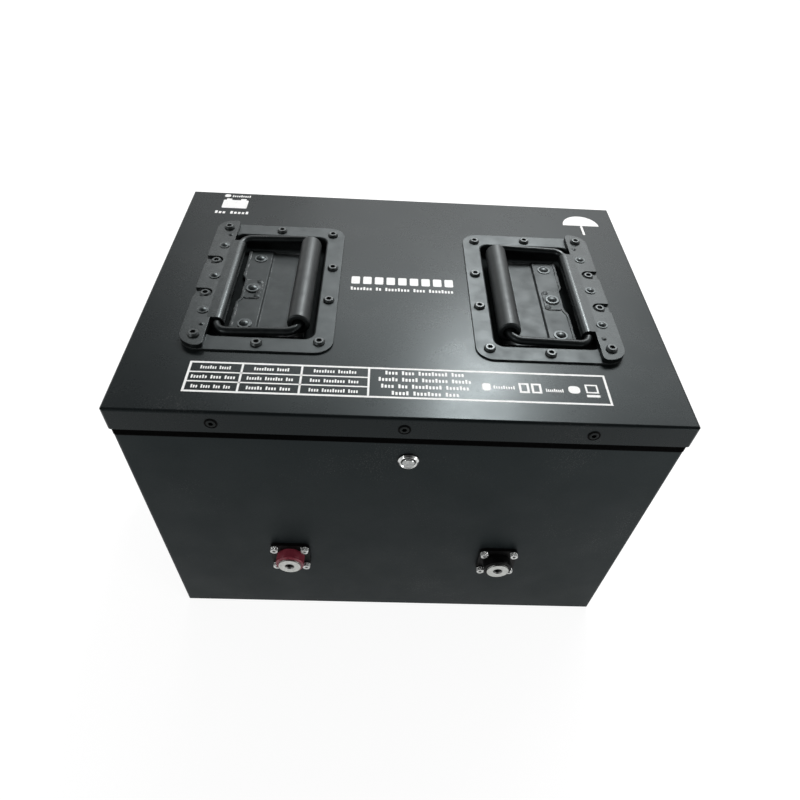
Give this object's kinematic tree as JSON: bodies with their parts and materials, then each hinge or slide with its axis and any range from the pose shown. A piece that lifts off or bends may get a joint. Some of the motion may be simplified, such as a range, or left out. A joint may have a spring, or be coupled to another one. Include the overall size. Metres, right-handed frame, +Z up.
{
  "type": "battery pack",
  "caption": "Rechargeable battery pack in a black steel case with a screwed lid, sprung carrying handles in pressed dishes, threaded terminals and a push button.",
  "frame": {"origin": "centre of the flat base face, on the surface the pack stands on", "axes": "+X to the right of a person facing the terminals, +Y to the back, +Z up"},
  "size_m": [0.435, 0.3293, 0.3039],
  "materials": {
    "powder_coat": "satin black powder coat with a fine texture",
    "black_screw": "black oxide, slightly oily",
    "grip_rubber": "satin black moulded grip",
    "seal_foam": "matt black foam tape",
    "zinc_steel": "zinc plated",
    "stainless": "bright turned stainless steel",
    "nickel": "nickel plated brass",
    "red_collar": "dark red moulded insulator",
    "black_plastic": "black moulded plastic",
    "cell_film": "blue film on an aluminium can",
    "copper": "bare copper",
    "epoxy_board": "glass epoxy sheet",
    "grey_foam": "closed cell foam",
    "cover_board": "amber insulating board",
    "aluminium": "extruded, bead blasted",
    "red_cable": "soft red insulation",
    "black_cable": "soft black insulation",
    "white_wire": "white insulation"
  },
  "bodies": {
    "case": {"case_body": "powder_coat", "lid": "powder_coat", "lid_seal": "seal_foam", "lid_screws": "black_screw", "rivet_nuts": "zinc_steel", "left_handle_dish": "powder_coat", "left_hinge_plate": "powder_coat", "left_dish_plate": "powder_coat", "left_handle_spring": "zinc_steel", "right_handle_dish": "powder_coat", "right_hinge_plate": "powder_coat", "right_dish_plate": "powder_coat", "right_handle_spring": "zinc_steel", "handle_screws": "black_screw", "handle_nuts": "zinc_steel", "handle_rivets": "powder_coat", "positive_collar": "red_collar", "negative_collar": "black_plastic", "positive_stud": "nickel", "negative_stud": "nickel", "terminal_flanges": "black_plastic", "terminal_insulators": "black_plastic", "terminal_screws": "stainless", "terminal_nuts": "stainless", "stud_nuts": "nickel", "button_housing": "stainless", "button_spring": "zinc_steel", "button_seal": "grip_rubber", "button_nut": "stainless", "button_contacts": "black_plastic", "cell_1": "cell_film", "cell_2": "cell_film", "cell_3": "cell_film", "cell_4": "cell_film", "cell_5": "cell_film", "cell_6": "cell_film", "cell_7": "cell_film", "cell_8": "cell_film", "busbars": "copper", "cell_nuts": "stainless", "cell_boards": "epoxy_board", "cell_straps": "zinc_steel", "base_pad": "grey_foam", "foam_pads": "grey_foam", "cover_board": "cover_board", "bms_case": "black_plastic", "bms_heatsink": "aluminium", "bms_screws": "stainless", "positive_cable": "red_cable", "cell_negative_cable": "black_cable", "pack_negative_cable": "black_cable", "cable_lugs": "copper", "balance_harness": "white_wire", "button_lead": "black_cable", "radio_module": "black_plastic"},
    "left_handle": {"left_bail": "powder_coat", "left_grip": "grip_rubber"},
    "right_handle": {"right_bail": "powder_coat", "right_grip": "grip_rubber"},
    "button": {"button_cap": "stainless"}
  },
  "joints": [
    {"name": "right_handle_hinge", "type": "hinge", "parent": "case", "child": "right_handle", "pos_m": [0.1525, 0.0005, 0.2923], "axis": [0, 1, 0], "range_deg": [0, 87], "stiffness_Nm_per_rad": 0.5, "springref_deg": -20.05},
    {"name": "left_handle_hinge", "type": "hinge", "parent": "case", "child": "left_handle", "pos_m": [-0.1525, 0.0005, 0.2923], "axis": [0, -1, 0], "range_deg": [0, 87], "stiffness_Nm_per_rad": 0.5, "springref_deg": -20.05},
    {"name": "button_press", "type": "slide", "parent": "case", "child": "button", "axis": [0, 1, 0], "range_m": [0, 0.0025], "stiffness_N_per_m": 600, "springref_m": -0.0025, "deforming": ["button_spring"]}
  ]
}
